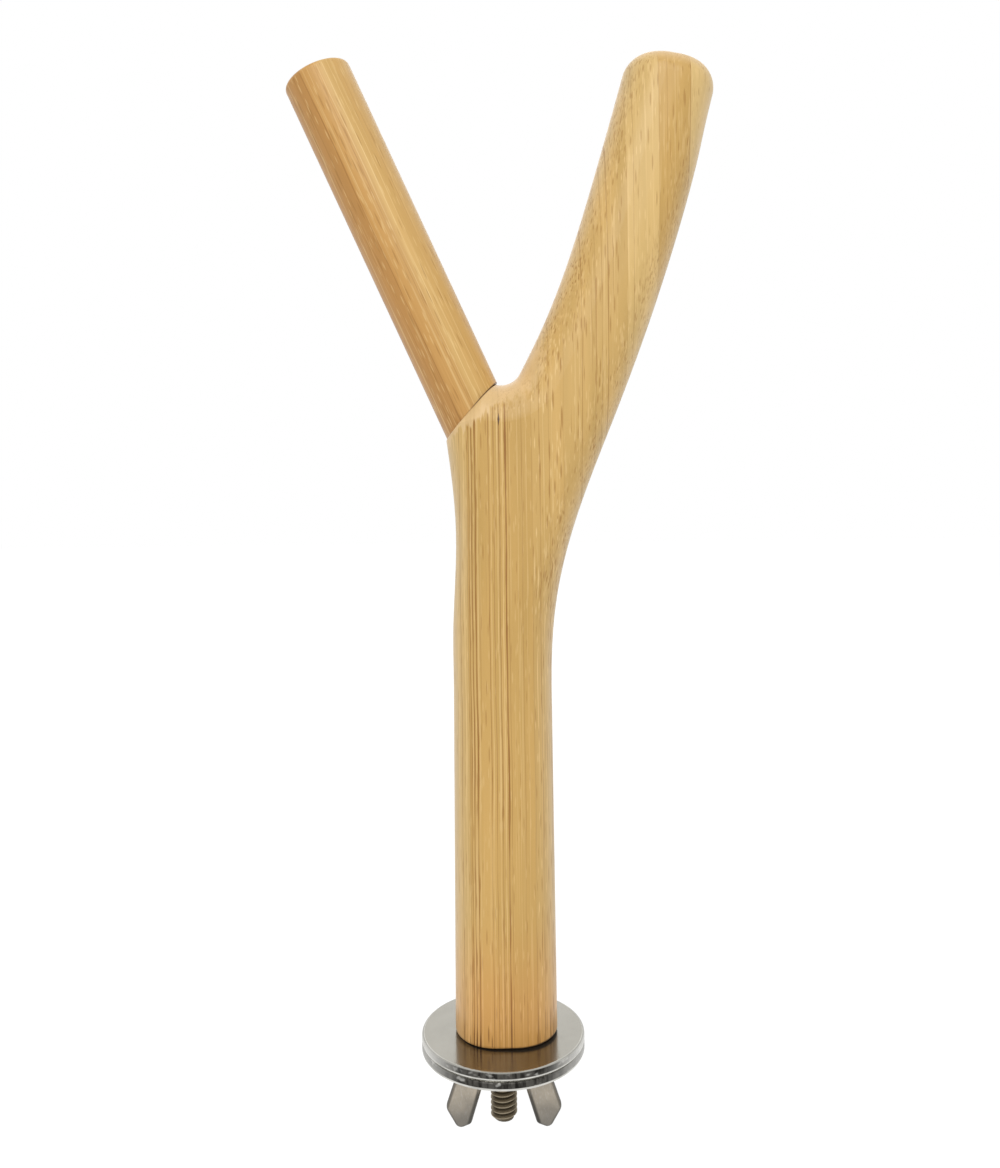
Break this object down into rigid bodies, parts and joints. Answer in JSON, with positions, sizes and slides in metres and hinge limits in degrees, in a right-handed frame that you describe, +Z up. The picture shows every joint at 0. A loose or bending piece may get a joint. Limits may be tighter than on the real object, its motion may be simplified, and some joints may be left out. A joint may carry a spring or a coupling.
{
  "type": "bird perch",
  "caption": "Forked bamboo bird perch with one round dowel arm, and a stud, washers and wing nut at its foot that clamp it to a cage.",
  "frame": {"origin": "on the stud's axis, on the plane where the two washers meet: the middle of the clamp", "axes": "+Z up along the post from the washers to the arms; the fork lies in the XZ plane, with the dowel arm towards -X and the sawn arm towards +X"},
  "size_m": [0.1002, 0.038, 0.2508],
  "materials": {
    "laminated_bamboo": "satin",
    "bamboo_dowel": "satin",
    "bolt_steel": "satin",
    "washer_steel": "polished",
    "nut_steel": "satin"
  },
  "bodies": {
    "perch": {"bamboo_strip_1": "laminated_bamboo", "bamboo_strip_2": "laminated_bamboo", "bamboo_strip_3": "laminated_bamboo", "bamboo_strip_4": "laminated_bamboo", "bamboo_strip_5": "laminated_bamboo", "bamboo_strip_6": "laminated_bamboo", "bamboo_strip_7": "laminated_bamboo", "bamboo_strip_8": "laminated_bamboo", "bamboo_strip_9": "laminated_bamboo", "dowel_arm": "bamboo_dowel", "arm_peg": "bamboo_dowel", "hanger_bolt": "bolt_steel"},
    "inner_washer": {"inner_washer": "washer_steel"},
    "outer_washer": {"outer_washer": "washer_steel"},
    "wing_nut": {"wing_nut": "nut_steel"}
  },
  "joints": [
    {"name": "inner_washer_spin", "type": "hinge", "parent": "perch", "child": "inner_washer", "pos_m": [0, 0, 0], "axis": [0, 0, 1], "continuous": true},
    {"name": "outer_washer_slide", "type": "slide", "parent": "perch", "child": "outer_washer", "axis": [0, 0, -1], "range_m": [0, 0.01397]},
    {"name": "wing_nut_spin", "type": "hinge", "parent": "outer_washer", "child": "wing_nut", "pos_m": [0, 0, 0], "axis": [0, 0, -1], "range_deg": [0, 3960]}
  ],
  "couplings": [
    {"joint": "wing_nut_spin", "follows": "outer_washer_slide", "rad_per_m": 4947.4}
  ]
}
